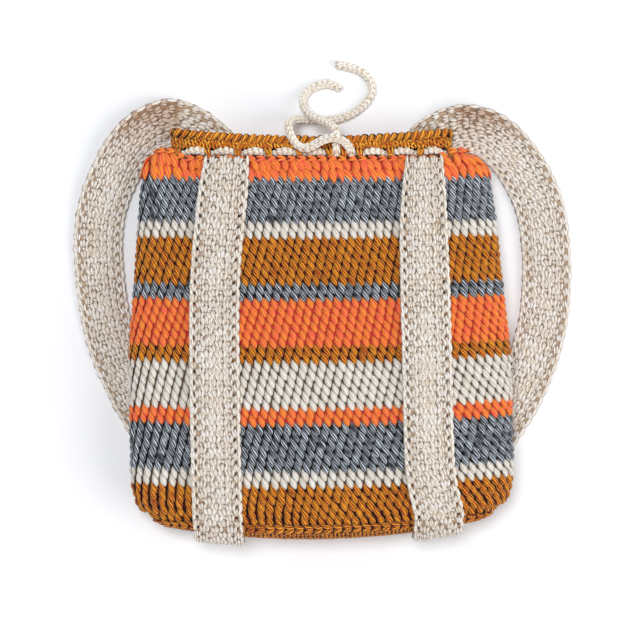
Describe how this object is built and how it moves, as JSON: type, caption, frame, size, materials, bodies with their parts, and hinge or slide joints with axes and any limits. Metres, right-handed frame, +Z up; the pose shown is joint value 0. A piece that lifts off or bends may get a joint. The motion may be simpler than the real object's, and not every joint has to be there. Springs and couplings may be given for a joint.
{
  "type": "backpack",
  "caption": "Crocheted drawstring backpack in striped cotton yarn, lying flat on its back with its two long shoulder straps spread out beside it.",
  "frame": {"origin": "on the floor, under the middle of the bag and its straps", "axes": "+Z up out of the bag's front, +Y from the base to the mouth, +X to the right in the front view"},
  "size_m": [0.3968, 0.3819, 0.0664],
  "materials": {
    "mustard": "mustard cotton yarn, crocheted",
    "cream": "cream cotton yarn, crocheted",
    "grey": "grey cotton yarn, crocheted",
    "orange": "orange cotton yarn, crocheted",
    "strap_cream": "cream cotton yarn, moss stitch",
    "cord_cream": "cream cotton yarn, round crocheted cord"
  },
  "bodies": {
    "root": {"base": "mustard", "stripe_01_mustard": "mustard", "stripe_02_cream": "cream", "stripe_03_grey": "grey", "stripe_04_orange": "orange", "stripe_05_cream": "cream", "stripe_06_mustard": "mustard", "stripe_07_orange": "orange", "stripe_08_grey": "grey", "stripe_09_mustard": "mustard", "stripe_10_cream": "cream", "stripe_11_grey": "grey", "stripe_12_orange": "orange", "mouth_edging": "mustard", "drawstring_laced": "cord_cream", "drawstring_end_left": "cord_cream", "drawstring_end_right": "cord_cream", "strap_left": "strap_cream", "strap_right": "strap_cream"}
  },
  "joints": []
}
